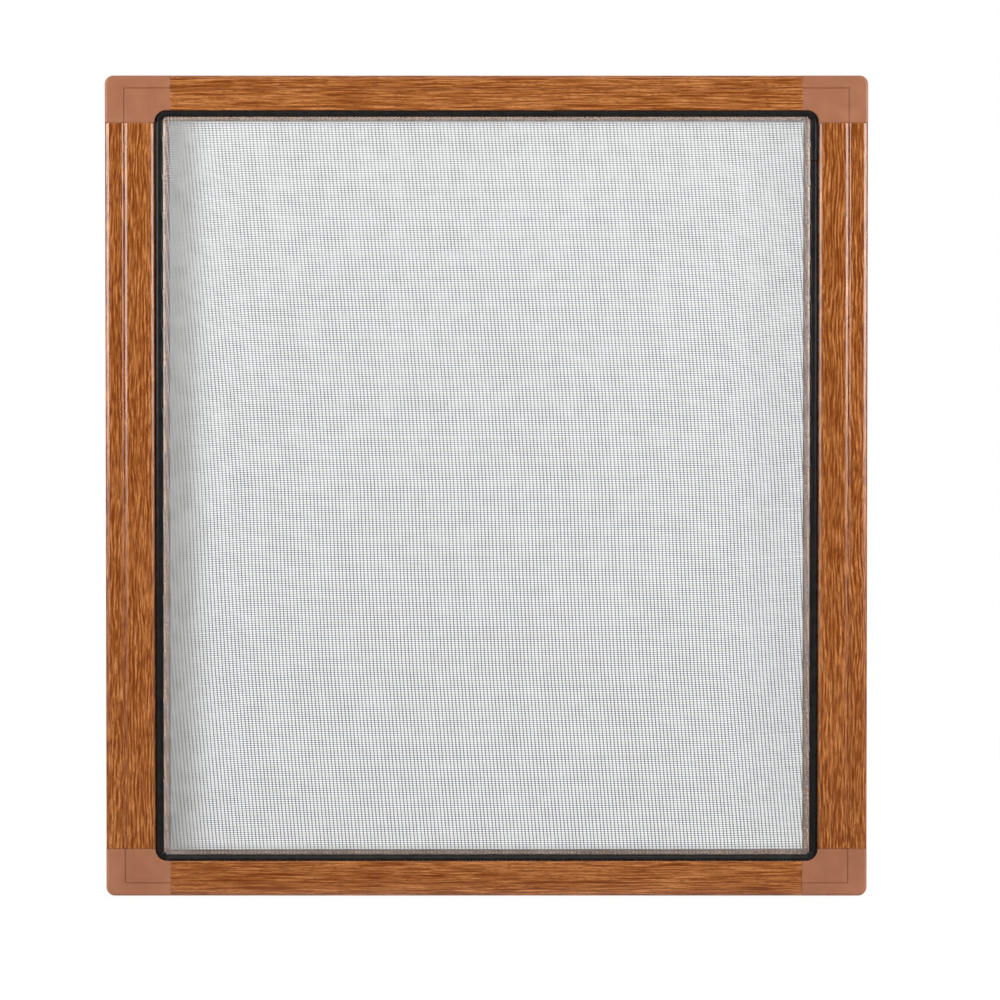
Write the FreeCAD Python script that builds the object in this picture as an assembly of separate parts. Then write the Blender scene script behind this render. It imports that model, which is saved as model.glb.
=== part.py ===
import FreeCAD, Part
import math
import os

Vector = FreeCAD.Vector

# Whole screen, mm: X across, Z up, front face towards -Y, origin in the middle of the box
FRAME_WIDTH = 300.0
FRAME_HEIGHT = 323.0
FRAME_DEPTH = 10.0

# Extruded bars, measured from the outer edge of the frame towards the opening
STILE_FACE = 19.4
STILE_LIP = 2.8
RAIL_FACE = 12.9
RAIL_LIP = 2.3
RAIL_NIB = 0.8
NIB_THICKNESS = 0.95
WALL = 1.0
LIP_WALL = 1.2
LIP_DROP = 1.3
FLANGE_THICKNESS = 1.1
EDGE_RADIUS = 1.9
BACK_CHAMFER = 0.5
INNER_EDGE_RADIUS = 0.8
LIP_RADIUS = 0.45

# V line pressed into the face of every bar and turned through every corner
STILE_LINE = 7.5
RAIL_LINE = 5.3
LINE_WIDTH = 2.2
LINE_DEPTH = 0.6

# Cord and the woven sheet that it holds
SPLINE_DIAMETER = 2.8
SPLINE_DROP = 0.9
SPLINE_SIDES = 16
SPLINE_FLUTE = 0.12
SPLINE_JOIN_HEIGHT = 128.0
SPLINE_JOIN_GAP = 0.3
MESH_WALL = 0.2
MESH_BEND = 0.2
MESH_TAIL_DROP = 1.7
OPENING_COLUMNS = 10
OPENING_ROWS = 12
OPENING_SHARE = 0.72
RIDGES_A_BAND = 3
RIDGE_WIDTH = 1.0
RIDGE_CREST = 0.5
RIDGE_HEIGHT = 0.12

# Corner mouldings and the legs that push into the bars
CORNER_RADIUS = 3.4
TURN_RADIUS = 1.4
STILE_LEG = 30.0
RAIL_LEG = 26.0
LEG_TAPER = 3.0
LEG_TIP_INSET = 0.9
LEG_FINS = 4
FIN_THICKNESS = 1.4
FIN_HEIGHT = 0.6

# Clearances
CORD_CLEARANCE = 0.05
LEG_CLEARANCE = 0.12
LIP_CLEARANCE = 0.2

front = -FRAME_DEPTH / 2
back = FRAME_DEPTH / 2
lip_top = front + LIP_DROP
flange_back = lip_top + FLANGE_THICKNESS
groove_width = SPLINE_DIAMETER + 2 * (MESH_WALL + CORD_CLEARANCE)
groove_half = groove_width / 2
groove_bend = TURN_RADIUS + groove_half
spline_depth = front + SPLINE_DROP + SPLINE_DIAMETER / 2
groove_floor = front + SPLINE_DROP + SPLINE_DIAMETER + CORD_CLEARANCE + MESH_WALL
stile_width = STILE_FACE + groove_width + STILE_LIP
rail_width = RAIL_FACE + groove_width + RAIL_LIP
stile_length = FRAME_HEIGHT - 2 * rail_width
rail_length = FRAME_WIDTH - 2 * stile_width
left = -FRAME_WIDTH / 2
top = FRAME_HEIGHT / 2
turn_x = left + STILE_FACE + groove_half + groove_bend
turn_z = top - RAIL_FACE - groove_half - groove_bend
opening_x = -left - stile_width - LIP_CLEARANCE
opening_z = top - rail_width - LIP_CLEARANCE


def rounded_wire(corners, place):
    """Closed wire through corners (a, b, radius), each corner rounded to its own radius."""
    edges = []
    starts = []
    ends = []
    arcs = []
    for i, (a, b, radius) in enumerate(corners):
        before = corners[i - 1]
        after = corners[(i + 1) % len(corners)]
        point = Vector(a, b, 0)
        inward = (Vector(before[0], before[1], 0) - point).normalize()
        outward = (Vector(after[0], after[1], 0) - point).normalize()
        half = inward.getAngle(outward) / 2
        reach = radius / math.tan(half)
        starts.append(point + inward * reach)
        ends.append(point + outward * reach)
        bisector = (inward + outward).normalize()
        arcs.append(point + bisector * (radius / math.sin(half) - radius))
    for i, (a, b, radius) in enumerate(corners):
        if (starts[i] - ends[i - 1]).Length > 1e-6:
            edges.append(Part.makeLine(place(ends[i - 1]), place(starts[i])))
        if radius > 0:
            edges.append(Part.Arc(place(starts[i]), place(arcs[i]), place(ends[i])).toShape())
    return Part.Wire(edges)


def polygon(points):
    """Flat face inside a closed run of straight edges."""
    return Part.Face(Part.makePolygon(points + points[:1]))


def turned_half(shape):
    """The same piece turned half a turn about the depth axis, to the opposite side of the frame."""
    turned = shape.copy()
    turned.rotate(Vector(0, 0, 0), Vector(0, 1, 0), 180)
    return turned


def mirrored(shape):
    """The same piece mirrored from left to right."""
    return shape.mirror(Vector(0, 0, 0), Vector(1, 0, 0))


def joined(shapes):
    """One solid made from shapes that meet or overlap."""
    return shapes[0].multiFuse(shapes[1:]).removeSplitter().Solids[0]


def bar_section(face, nib, lip, line, place):
    """Section of a hollow bar: face with its V line, cord groove, mesh lip and two closed chambers."""
    inner = face + groove_width
    wall_end = inner + LIP_WALL
    nib_step = [
        (face + nib, front + NIB_THICKNESS, 0),
        (face, front + NIB_THICKNESS, 0),
    ]
    outline = [
        (0, front, EDGE_RADIUS),
        (line - LINE_WIDTH / 2, front, 0.3),
        (line, front + LINE_DEPTH, 0.2),
        (line + LINE_WIDTH / 2, front, 0.3),
        (face + nib, front, INNER_EDGE_RADIUS),
    ]
    if nib > 0:
        outline += nib_step
    outline += [
        (face, groove_floor, 0),
        (inner, groove_floor, 0),
        (inner, lip_top, LIP_RADIUS),
        (inner + lip, lip_top, LIP_RADIUS),
        (inner + lip, flange_back, 0),
        (wall_end, flange_back, 0),
        (wall_end, back - BACK_CHAMFER, 0),
        (wall_end - BACK_CHAMFER, back, 0),
        (BACK_CHAMFER, back, 0),
        (0, back - BACK_CHAMFER, 0),
    ]
    chamber = [
        (WALL, front + WALL, EDGE_RADIUS - WALL),
        (face - WALL, front + WALL, 0),
        (face - WALL, back - WALL, 0),
        (WALL, back - WALL, 0),
    ]
    under_groove = [
        (face, groove_floor + WALL, 0),
        (wall_end - WALL, groove_floor + WALL, 0),
        (wall_end - WALL, back - WALL, 0),
        (face, back - WALL, 0),
    ]
    wires = [rounded_wire(run, place) for run in (outline, chamber, under_groove)]
    return Part.makeFace(wires, "Part::FaceMakerBullseye")


def make_stile():
    """Left stile, between the two left corners."""
    section = bar_section(
        STILE_FACE, 0, STILE_LIP, STILE_LINE, lambda p: Vector(left + p.x, p.y, -stile_length / 2)
    )
    return section.extrude(Vector(0, 0, stile_length))


def make_rail():
    """Top rail, between the two top corners; its nib hooks over the cord."""
    section = bar_section(
        RAIL_FACE, RAIL_NIB, RAIL_LIP, RAIL_LINE, lambda p: Vector(-rail_length / 2, p.y, top - p.x)
    )
    return section.extrude(Vector(rail_length, 0, 0))


def groove_ring(make_wire):
    """Eight lengths of one section carried along the groove: left run, top run, bend, and their opposites.

    make_wire places section points (offset from the groove's middle towards the opening, depth).
    """
    on_left = Part.Face(make_wire(lambda p: Vector(turn_x - groove_bend + p.x, p.y, -turn_z)))
    on_top = Part.Face(make_wire(lambda p: Vector(turn_x, p.y, turn_z + groove_bend - p.x)))
    at_turn = Part.Face(make_wire(lambda p: Vector(turn_x - groove_bend + p.x, p.y, turn_z)))
    left_run = on_left.extrude(Vector(0, 0, 2 * turn_z))
    top_run = on_top.extrude(Vector(-2 * turn_x, 0, 0))
    bend = at_turn.revolve(Vector(turn_x, 0, turn_z), Vector(0, 1, 0), 90)
    quarter = [left_run, top_run, bend, mirrored(bend)]
    return quarter + [turned_half(piece) for piece in quarter]


def groove_wire(place):
    """Section of the space that the groove takes from a corner moulding."""
    return rounded_wire(
        [
            (-groove_half, front - 1, 0),
            (groove_half + LIP_RADIUS, front - 1, 0),
            (groove_half + LIP_RADIUS, lip_top, 0),
            (groove_half, lip_top + LIP_RADIUS, 0),
            (groove_half, groove_floor, 0),
            (-groove_half, groove_floor, 0),
        ],
        place,
    )


def corner_point(across, down, depth):
    """Point at a distance from the left edge, a distance below the top edge and a depth."""
    return Vector(left + across, depth, top - down)


def box_between(low, high):
    """Upright box between two opposite points."""
    near = Vector(min(low.x, high.x), min(low.y, high.y), min(low.z, high.z))
    size = Vector(abs(high.x - low.x), abs(high.y - low.y), abs(high.z - low.z))
    return Part.makeBox(size.x, size.y, size.z, near)


def leg_pieces(face, length, place):
    """Leg with fins and a tapered tip, in a bar's chamber; place takes (across, depth, along)."""
    near = WALL + LEG_CLEARANCE
    far = face - WALL - LEG_CLEARANCE
    fin_near = near + EDGE_RADIUS - WALL
    fin_depth = back - WALL - LEG_CLEARANCE
    core_near = near + FIN_HEIGHT
    core_far = far - FIN_HEIGHT
    core_depth = fin_depth - FIN_HEIGHT
    tip_depth = core_depth - LEG_TIP_INSET
    taper_start = length - LEG_TAPER
    side = [
        (-core_depth, -WALL),
        (-core_depth, taper_start),
        (-tip_depth, length),
        (tip_depth, length),
        (core_depth, taper_start),
        (core_depth, -WALL),
    ]
    core = polygon([place(core_near, depth, along) for depth, along in side])
    pieces = [core.extrude(place(core_far, 0, 0) - place(core_near, 0, 0))]
    spacing = taper_start / LEG_FINS
    for i in range(LEG_FINS):
        start = (i + 0.5) * spacing
        pieces.append(
            box_between(place(fin_near, -fin_depth, start), place(far, fin_depth, start + FIN_THICKNESS))
        )
    return pieces


def outer_edges(block, depth):
    """Edges of a corner block at one depth that lie on the outside of the frame."""
    edges = []
    for edge in block.Edges:
        middle = edge.BoundBox.Center
        outside = middle.x < left + stile_width - 0.01 and middle.z > top - rail_width + 0.01
        if outside and abs(middle.y - depth) < 1e-6:
            edges.append(edge)
    return edges


def make_corner():
    """Top left corner moulding: rounded block with the groove's bend, the V line's mitre and two legs."""
    plan = rounded_wire(
        [
            (0, 0, CORNER_RADIUS),
            (stile_width, 0, 0),
            (stile_width, rail_width, 0),
            (0, rail_width, 0),
        ],
        lambda p: corner_point(p.x, p.y, front),
    )
    block = Part.Face(plan).extrude(Vector(0, FRAME_DEPTH, 0))
    block = block.makeFillet(EDGE_RADIUS, outer_edges(block, front))
    block = block.makeChamfer(BACK_CHAMFER, outer_edges(block, back))
    legs = leg_pieces(STILE_FACE, STILE_LEG, lambda a, d, s: corner_point(a, rail_width + s, d))
    legs += leg_pieces(RAIL_FACE, RAIL_LEG, lambda a, d, s: corner_point(stile_width + s, a, d))
    ring = groove_ring(groove_wire)
    half = LINE_WIDTH / 2
    mitre = polygon(
        [
            corner_point(STILE_LINE - half, RAIL_LINE - half, front),
            corner_point(STILE_LINE, RAIL_LINE, front + LINE_DEPTH),
            corner_point(STILE_LINE + half, RAIL_LINE + half, front),
        ]
    )
    lip_across = STILE_FACE + groove_width
    lip_down = RAIL_FACE + groove_width
    cuts = [
        ring[0],
        ring[1],
        ring[2],
        mitre.extrude(Vector(0, 0, -rail_width)),
        mitre.extrude(Vector(stile_width, 0, 0)),
        box_between(
            corner_point(lip_across - groove_half, lip_down - groove_half, front - 1),
            corner_point(stile_width + 1, rail_width + 1, lip_top),
        ),
        box_between(
            corner_point(lip_across + LIP_WALL, lip_down + LIP_WALL, flange_back),
            corner_point(stile_width + 1, rail_width + 1, back + 1),
        ),
    ]
    return joined([block.cut(cuts)] + legs)


def mesh_wire(place):
    """Section of the sheet's edge: over the lip, down, under the cord and up beside the face."""
    return rounded_wire(
        [
            (groove_bend, lip_top - MESH_WALL, 0),
            (groove_half - MESH_WALL + MESH_BEND, lip_top - MESH_WALL, 0),
            (groove_half - MESH_WALL, lip_top - MESH_WALL + MESH_BEND, 0),
            (groove_half - MESH_WALL, groove_floor - MESH_WALL, 0),
            (MESH_WALL - groove_half, groove_floor - MESH_WALL, 0),
            (MESH_WALL - groove_half, front + MESH_TAIL_DROP, 0),
            (-groove_half, front + MESH_TAIL_DROP, 0),
            (-groove_half, groove_floor, 0),
            (groove_half, groove_floor, 0),
            (groove_half, lip_top + MESH_BEND, 0),
            (groove_half + MESH_BEND, lip_top, 0),
            (groove_bend, lip_top, 0),
        ],
        place,
    )


def ridge_middles(reach, count):
    """Middles of the thread ridges on the bands that part count openings between -reach and +reach."""
    pitch = 2 * reach / count
    spacing = pitch * (1 - OPENING_SHARE) / RIDGES_A_BAND
    middles = []
    for band in range(count + 1):
        for ridge in range(RIDGES_A_BAND):
            middle = band * pitch - reach + (ridge - (RIDGES_A_BAND - 1) / 2) * spacing
            if abs(middle) < reach - RIDGE_WIDTH / 2:
                middles.append(middle)
    return middles


def ridged_edge(middles, base, crest):
    """Zigzag of thread ridges: (position, height) pairs across a run of threads."""
    zigzag = []
    for middle in middles:
        zigzag.append((middle - RIDGE_WIDTH / 2, base))
        zigzag.append((middle - RIDGE_CREST / 2, crest))
        zigzag.append((middle + RIDGE_CREST / 2, crest))
        zigzag.append((middle + RIDGE_WIDTH / 2, base))
    return zigzag


def make_mesh():
    """Woven sheet drawn coarse: a wall with a grid of openings and thread ridges on the bands between them.

    Upright ridges lie in front of the wall and level ones behind it.
    """
    half_width = -turn_x
    wall_front = lip_top - MESH_WALL
    warp_edge = ridged_edge(ridge_middles(opening_x, OPENING_COLUMNS), wall_front, wall_front - RIDGE_HEIGHT)
    weft_edge = ridged_edge(ridge_middles(opening_z, OPENING_ROWS), lip_top, lip_top + RIDGE_HEIGHT)
    warp_run = [(-half_width, wall_front)] + warp_edge + [(half_width, wall_front)]
    warp_run += [(half_width, lip_top), (-half_width, lip_top)]
    weft_run = [(-opening_z, lip_top)] + weft_edge + [(opening_z, lip_top)]
    weft_run += [(opening_z, lip_top - MESH_WALL / 2), (-opening_z, lip_top - MESH_WALL / 2)]
    warp_wall = polygon([Vector(x, y, -turn_z) for x, y in warp_run])
    weft_wall = polygon([Vector(-opening_x, y, z) for z, y in weft_run])
    ridges = warp_wall.extrude(Vector(0, 0, 2 * turn_z)).fuse(
        weft_wall.extrude(Vector(2 * opening_x, 0, 0))
    )
    column_pitch = 2 * opening_x / OPENING_COLUMNS
    row_pitch = 2 * opening_z / OPENING_ROWS
    opening = Part.makeBox(column_pitch * OPENING_SHARE, 2 + MESH_WALL, row_pitch * OPENING_SHARE)
    openings = []
    for column in range(OPENING_COLUMNS):
        for row in range(OPENING_ROWS):
            x = (column + (1 - OPENING_SHARE) / 2) * column_pitch - opening_x
            z = (row + (1 - OPENING_SHARE) / 2) * row_pitch - opening_z
            openings.append(opening.translated(Vector(x, wall_front - 1, z)))
    return joined([ridges.cut(openings)] + groove_ring(mesh_wire))


def spline_wire(place):
    """Cord section: a many-sided round with a shallow flute on each side of its front."""
    corners = []
    for i in range(SPLINE_SIDES):
        turn = 2 * math.pi * i / SPLINE_SIDES
        reach = SPLINE_DIAMETER / 2
        if i in (1, SPLINE_SIDES - 1):
            reach -= SPLINE_FLUTE
        corners.append((math.sin(turn) * reach, spline_depth - math.cos(turn) * reach, 0))
    return rounded_wire(corners, place)


def make_spline():
    """One length of cord all round the groove, its two ends meeting on the right stile."""
    loop = joined(groove_ring(spline_wire))
    reach = SPLINE_DIAMETER
    middle = -turn_x + groove_bend
    gap = box_between(
        Vector(middle - reach, front - 1, SPLINE_JOIN_HEIGHT - SPLINE_JOIN_GAP / 2),
        Vector(middle + reach, back, SPLINE_JOIN_HEIGHT + SPLINE_JOIN_GAP / 2),
    )
    return loop.cut(gap).Solids[0]


stile = make_stile()
rail = make_rail()
corner = make_corner()
opposite_corner = mirrored(corner)
pieces = {
    "left_stile": stile,
    "right_stile": turned_half(stile),
    "top_rail": rail,
    "bottom_rail": turned_half(rail),
    "top_left_corner": corner,
    "bottom_right_corner": turned_half(corner),
    "top_right_corner": opposite_corner,
    "bottom_left_corner": turned_half(opposite_corner),
    "mesh": make_mesh(),
    "spline": make_spline(),
}
os.makedirs("parts", exist_ok=True)
for name, piece in pieces.items():
    piece.exportStep("parts/" + name + ".step")
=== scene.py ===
import math
import bpy
import numpy as np
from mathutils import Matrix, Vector


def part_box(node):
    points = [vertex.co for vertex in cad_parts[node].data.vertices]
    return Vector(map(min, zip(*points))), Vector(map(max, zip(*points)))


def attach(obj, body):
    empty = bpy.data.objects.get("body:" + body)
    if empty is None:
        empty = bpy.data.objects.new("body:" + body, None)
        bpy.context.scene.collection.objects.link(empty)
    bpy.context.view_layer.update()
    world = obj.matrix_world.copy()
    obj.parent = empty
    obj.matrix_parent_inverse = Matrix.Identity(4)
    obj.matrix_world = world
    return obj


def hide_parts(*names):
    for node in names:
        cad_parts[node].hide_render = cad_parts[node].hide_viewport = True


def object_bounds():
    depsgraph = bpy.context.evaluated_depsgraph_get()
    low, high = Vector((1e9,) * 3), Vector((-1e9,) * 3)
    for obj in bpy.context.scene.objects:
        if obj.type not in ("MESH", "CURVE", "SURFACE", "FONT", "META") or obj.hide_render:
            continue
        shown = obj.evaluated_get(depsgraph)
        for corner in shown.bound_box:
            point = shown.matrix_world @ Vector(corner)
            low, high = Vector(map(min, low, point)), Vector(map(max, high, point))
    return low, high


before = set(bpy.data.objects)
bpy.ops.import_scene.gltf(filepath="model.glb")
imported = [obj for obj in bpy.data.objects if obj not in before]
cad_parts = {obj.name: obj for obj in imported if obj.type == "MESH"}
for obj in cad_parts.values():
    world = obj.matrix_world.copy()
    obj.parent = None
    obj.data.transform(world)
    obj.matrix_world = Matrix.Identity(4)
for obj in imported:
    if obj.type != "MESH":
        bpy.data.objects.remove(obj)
cad_low, cad_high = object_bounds()

MM = 0.001
random_threads = np.random.default_rng(7)
random_cord = np.random.default_rng(11)

# Sizes read from the frame, in millimetres
left = cad_low.x / MM
top = cad_high.z / MM
front = cad_low.y / MM
back = cad_high.y / MM
stile_low, stile_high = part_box("left_stile")
rail_low, rail_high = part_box("top_rail")
cord_low, cord_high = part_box("spline")
stile_width = (stile_high.x - stile_low.x) / MM
rail_width = (rail_high.z - rail_low.z) / MM
stile_end = stile_high.z / MM
rail_end = rail_high.x / MM
cord_front = cord_low.y / MM
cord_radius = (cord_high.y - cord_low.y) / MM / 2
cord_depth = cord_front + cord_radius
cord_x = cord_high.x / MM - cord_radius
cord_z = cord_high.z / MM - cord_radius

# Section of the bars: distances from the outer edge towards the opening, depths from the front face back
STILE_LIP = 2.8
RAIL_LIP = 2.3
# How much narrower the finished lips are than those of the solids
STILE_RIM = 0.15
RAIL_RIM = 0.45
LIP_DROP = 1.3
LIP_WALL = 1.2
LIP_BEVEL = 0.8
LIP_BEVEL_DEPTH = 0.45
LIP_BEVEL_ROUND = 0.15
LIP_CREST_ROUND = 0.2
LIP_ROUND = 0.45
FLANGE = 1.1
GROOVE = 3.3
GROOVE_CLEARANCE = 0.25
RAIL_NIB = 0.8
NIB_THICKNESS = 0.95
NIB_ROUND = 0.55
BACK_ROUND = 0.5
CRISP = 0.06
EASE = 0.2
STILE_LINE = 7.6
RAIL_LINE = 5.0
FINE_LINE_HALF = 0.36
FINE_LINE_DEPTH = 0.45
# Outer shoulders and face lines as (distance, depth, radius): the stile's shoulder is steep, then gentle, and
# its line goes down in two slopes and comes up in one
STILE_EDGE = [(0, 1.59, 0.3), (0.55, 0.64, 0.5), (1.7, 0, 0.35)]
RAIL_EDGE = [(0, 0.8, 0.5), (1.1, 0, 0.4)]
STILE_FACE_LINE = [(6.8, 0, 0.12), (7.15, 0.27, 0.12), (7.85, 0.45, 0.12), (8.75, 0, 0.2)]
RAIL_FACE_LINE = [
    (RAIL_LINE - FINE_LINE_HALF, 0, 0.2),
    (RAIL_LINE, FINE_LINE_DEPTH, 0.12),
    (RAIL_LINE + FINE_LINE_HALF, 0, 0.2),
]
# Shoulders at the groove, in the same way, with distances from the groove's outer wall
STILE_SHOULDER = [(-1.2, 0, 0.3), (-0.35, 0.6, 0.25), (0, 1.8, 0.3)]
RAIL_SHOULDER = [
    (RAIL_NIB, 0, NIB_ROUND),
    (RAIL_NIB, NIB_THICKNESS, CRISP / 2),
    (0, NIB_THICKNESS, CRISP),
]

# Corner mouldings and their legs
STILE_NIB = 0.03
CORNER_EDGE = 0.9
CORNER_EDGE_DEPTH = 0.7
CORNER_EDGE_ROUND = 0.6
CORNER_LINE_ROUND = 0.15
CORNER_LINE_FOOT = 0.08
CORNER_NIB_FOOT = 0.01
CORNER_LIP_GAP = 0.02
CORNER_LIP_ROUND = 0.1
CORNER_ROUND = 3.4
LINE_TURN = 0.2
SMALLEST_TURN = 0.01
TURN = 1.4
STILE_LEG = 30.0
RAIL_LEG = 26.0
LEG_INSET = 1.12
LEG_EDGE_INSET = 0.9
LEG_TAPER = 3.0
LEG_TIP_INSET = 0.9
FINS = 4
FIN_HEIGHT = 0.6
FIN_LENGTH = 1.4
FIN_STEP = 0.05

# Cord
JOIN_HEIGHT = 128.0
JOIN_GAP = 0.3
END_PINCH = 0.86
CORD_SPREAD = 1.14
CORD_BUNCH = 0.7
CORD_LIFT = 0.22
CORD_WANDER = 0.1
CORD_SWAY = 0.04
FLUTE_DEPTH = 0.14
FLUTE_ANGLE = math.radians(24)
FLUTE_HALF = math.radians(8)

# Woven cloth: strays are how far threads lie off their even places
WARP_PITCH = 1.42
WEFT_PITCH = 0.863
WARP_THREAD = 0.33
WEFT_THREAD = 0.28
CUT_THREAD = 0.30
WARP_STRAY = 0.025
WEFT_STRAY = 0.015
FIELD_STRAY = 0.012
LIP_STRAY = 0.04
CUT_STRAY = 0.12
WARP_LEAN = -0.095
WARP_EASING = 0.055
WARP_EASING_HEIGHT = -26.0
WARP_EASING_REACH = 38.0
WEFT_RISE = 2.5
WEFT_STRETCH = 0.0085
SHORTEST_WARP = 4.0
TUCK_OUT = 0.17
TUCK_DOWN = 2.2
BEVEL_GAP = 0.03
LOOSE_ENDS = 0.5
SHORTEST_CUT = 0.6
# A trimmed end's path: distances from the groove's outer wall towards the opening, and depths
STILE_CUT_OUT = [0.2, 0.17, 0.0, -0.4]
STILE_CUT_DEEP = [2.6, 2.0, 1.5, 0.95]
RAIL_CUT_OUT = [1.1, 1.02, 0.97, 0.95]
RAIL_CUT_DEEP = [1.6, 1.1, 0.9, 0.75]
# Shares of a thread's length; within LIP_SHARE of its ends a thread lies on the lip
LIP_SHARE = 0.02
THREAD_STATIONS = np.array([0, 0.0031, 0.012, 0.13, 0.25, 0.38, 0.5, 0.62, 0.75, 0.87, 0.988, 0.9969, 1])

# Worked out from these, in millimetres
stile_lip = STILE_LIP - STILE_RIM
rail_lip = RAIL_LIP - RAIL_RIM
stile_face = stile_width - GROOVE - STILE_LIP
rail_face = rail_width - GROOVE - RAIL_LIP
lip_top = front + LIP_DROP
groove_floor = cord_depth + cord_radius + GROOVE_CLEARANCE
turn_radius = TURN + GROOVE / 2
turn_x = cord_x - turn_radius
turn_z = cord_z - turn_radius
field_x = turn_x + TURN
field_z = turn_z + TURN
wall_x = -left - stile_face
wall_z = top - rail_face


def unit(v):
    """Each row of v scaled to length one."""
    return v / np.maximum(np.linalg.norm(v, axis=-1, keepdims=True), 1e-12)


def rounded_section(corners, steps=7):
    """Section outline: every corner (distance, depth, radius) becomes an arc tangent to its two sides.

    The arc's centre lies on the corner's bisector at radius / sin(half angle); its points turn evenly
    from one tangent point to the other.
    """
    corners = np.array(corners, float)
    point = corners[:, :2]
    radius = corners[:, 2:]
    to_before = unit(np.roll(point, 1, axis=0) - point)
    to_after = unit(np.roll(point, -1, axis=0) - point)
    half = np.arccos(np.clip((to_before * to_after).sum(1, keepdims=True), -1, 1)) / 2
    centre = point + unit(to_before + to_after) * radius / np.sin(half)
    begin = point + to_before * radius / np.tan(half) - centre
    end = point + to_after * radius / np.tan(half) - centre
    turn = np.pi - 2 * half
    t = np.linspace(0, 1, steps)
    share_begin = np.sin((1 - t) * turn) / np.sin(turn)
    share_end = np.sin(t * turn) / np.sin(turn)
    arcs = centre[:, None] + begin[:, None] * share_begin[:, :, None] + end[:, None] * share_end[:, :, None]
    return arcs.reshape(-1, 2)


def bar_outline(face, lip, edge, line, shoulder):
    """Corners of a bar's outer section: face with its line, groove, mesh lip and plain back.

    edge is the outer shoulder, line the one drawn on the face and shoulder the face's end at the groove: two
    slopes on a stile, on a rail a rounded nib that overhangs.
    """
    inner = face + GROOVE
    wall_end = inner + LIP_WALL
    drawn = edge + line + [(face + distance, depth, radius) for distance, depth, radius in shoulder]
    return [
        *[(distance, front + depth, radius) for distance, depth, radius in drawn],
        (face, groove_floor, CRISP),
        (inner, groove_floor, CRISP),
        (inner, lip_top + LIP_BEVEL_DEPTH, LIP_BEVEL_ROUND),
        (inner + LIP_BEVEL, lip_top, LIP_CREST_ROUND),
        (inner + lip, lip_top, LIP_ROUND),
        (inner + lip, lip_top + FLANGE, CRISP),
        (wall_end, lip_top + FLANGE, CRISP),
        (wall_end, back, BACK_ROUND),
        (0, back, BACK_ROUND),
    ]


def skin(points, closed_rows=False):
    """Surface over a grid of points (rows, columns, 3); columns close into a ring, rows may too.

    A vertex's normal is the cross product of the grid's two central differences.
    """
    rows, columns = points.shape[:2]
    if closed_rows:
        along = np.roll(points, -1, axis=0) - np.roll(points, 1, axis=0)
    else:
        along = np.gradient(points, axis=0)
    around = np.roll(points, -1, axis=1) - np.roll(points, 1, axis=1)
    normals = unit(np.cross(around, along))
    row = np.arange(rows if closed_rows else rows - 1)[:, None]
    column = np.arange(columns)[None, :]
    next_row = (row + 1) % rows
    next_column = (column + 1) % columns
    quads = np.stack(
        np.broadcast_arrays(
            row * columns + column,
            row * columns + next_column,
            next_row * columns + next_column,
            next_row * columns + column,
        ),
        axis=-1,
    ).reshape(-1, 4)
    return {"points": points.reshape(-1, 3), "normals": normals.reshape(-1, 3), "faces": quads.tolist()}


def end_caps(points):
    """Flat faces that close the first and last ring of a skin, on points of their own."""
    columns = points.shape[1]
    outward = unit(points[[0, -1]].mean(1) - points[[1, -2]].mean(1))
    normals = np.repeat(outward, columns, axis=0)
    faces = [list(range(columns - 1, -1, -1)), list(range(columns, 2 * columns))]
    return {"points": points[[0, -1]].reshape(-1, 3), "normals": normals, "faces": faces}


def together(skins):
    """Several skins as one: points and normals follow each other, and face numbers move up."""
    starts = np.cumsum([0] + [len(s["points"]) for s in skins])
    faces = [[i + start for i in face] for s, start in zip(skins, starts) for face in s["faces"]]
    return {
        "points": np.concatenate([s["points"] for s in skins]),
        "normals": np.concatenate([s["normals"] for s in skins]),
        "faces": faces,
    }


def make_piece(name, made, material, node, thread_map=None):
    """Mesh object at the origin from a skin in millimetres, with its normals and its map if it has one."""
    mesh = bpy.data.meshes.new(name)
    mesh.from_pydata((made["points"] * MM).tolist(), [], made["faces"])
    mesh.shade_smooth()
    if thread_map is not None:
        layer = mesh.uv_layers.new(name="thread")
        loop_vertex = np.empty(len(mesh.loops), np.int32)
        mesh.loops.foreach_get("vertex_index", loop_vertex)
        layer.data.foreach_set("uv", thread_map[loop_vertex].astype(np.float32).ravel())
    mesh.normals_split_custom_set_from_vertices(made["normals"])
    mesh.materials.append(material)
    piece = bpy.data.objects.new(name, mesh)
    bpy.context.scene.collection.objects.link(piece)
    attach(piece, "root")
    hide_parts(node)
    return piece


def half_turn(made):
    """The same skin turned half a turn about the depth axis."""
    turn = np.array([-1, 1, -1])
    return {"points": made["points"] * turn, "normals": made["normals"] * turn, "faces": made["faces"]}


def mirror(made):
    """The same skin mirrored left to right, with its faces turned back to point outwards."""
    flip = np.array([-1, 1, 1])
    faces = [face[::-1] for face in made["faces"]]
    return {"points": made["points"] * flip, "normals": made["normals"] * flip, "faces": faces}


def eased_ends(section, reach):
    """Stations along a bar and its section at each: the saw cut's edge is broken at both ends.

    At the end stations the section is moved inwards along its own outline's normal.
    """
    along = np.roll(section, -1, axis=0) - np.roll(section, 1, axis=0)
    inward = unit(np.stack([-along[:, 1], along[:, 0]], 1))
    stations = np.array([-reach, EASE - reach, 2 * EASE - reach, reach - 2 * EASE, reach - EASE, reach])
    shrink = np.array([EASE, 0, 0, 0, 0, EASE])
    return stations, section[None] + inward[None] * shrink[:, None, None]


def stile_skin():
    """Left stile: its section carried straight from the lower to the upper end."""
    outline = bar_outline(stile_face, stile_lip, STILE_EDGE, STILE_FACE_LINE, STILE_SHOULDER)
    stations, sections = eased_ends(rounded_section(outline), stile_end)
    across, depth = np.moveaxis(sections, -1, 0)
    along = np.broadcast_to(stations[:, None], across.shape)
    points = np.stack([left + across, depth, along], axis=-1)
    return together([skin(points), end_caps(points)])


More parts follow.
